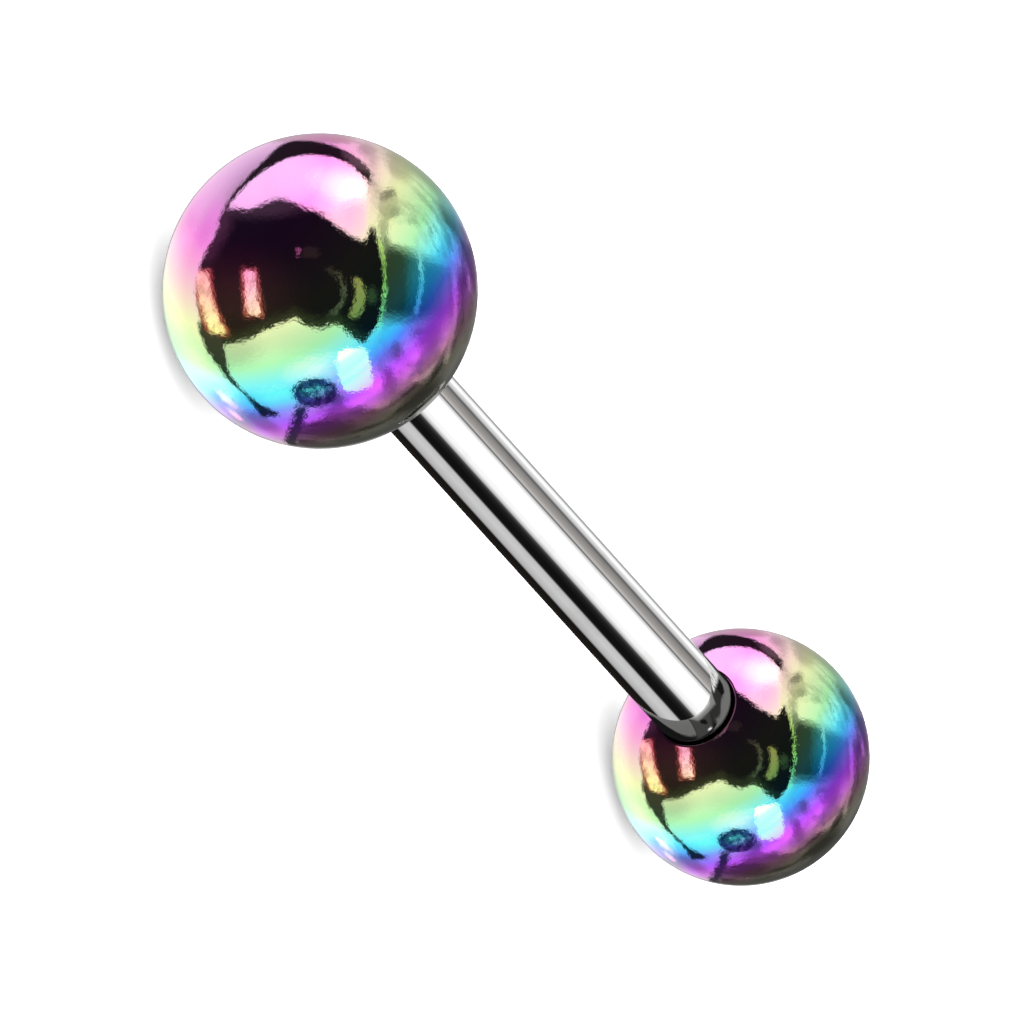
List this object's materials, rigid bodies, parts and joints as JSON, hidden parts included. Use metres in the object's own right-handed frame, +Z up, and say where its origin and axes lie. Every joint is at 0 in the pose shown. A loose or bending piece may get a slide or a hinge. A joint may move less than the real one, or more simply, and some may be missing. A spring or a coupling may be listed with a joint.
{
  "type": "piercing barbell",
  "caption": "Straight piercing barbell: a round polished steel bar with a rainbow-coated ball screwed on each end.",
  "frame": {"origin": "on the surface that the barbell lies on, at the middle of its box", "axes": "+Z up, +X along the bar towards the small ball; the bar leans down 1.33 degrees towards +X, because both balls touch the surface"},
  "size_m": [0.027, 0.006, 0.006],
  "materials": {
    "polished_steel": "bare surgical steel, drawn and mirror polished",
    "rainbow_coat": "thin rainbow coating on polished steel, from pink through green, blue and purple to olive across each ball, along a line about 41 degrees from the bar's axis"
  },
  "bodies": {
    "bar": {"bar": "polished_steel"},
    "large_ball": {"large_ball": "rainbow_coat"},
    "small_ball": {"small_ball": "rainbow_coat"}
  },
  "joints": [
    {"name": "large_ball_off", "type": "slide", "parent": "bar", "child": "large_ball", "axis": [-0.9997, 0, 0.0233], "range_m": [0, 0.008]},
    {"name": "small_ball_off", "type": "slide", "parent": "bar", "child": "small_ball", "axis": [0.9997, 0, -0.0233], "range_m": [0, 0.008]}
  ]
}
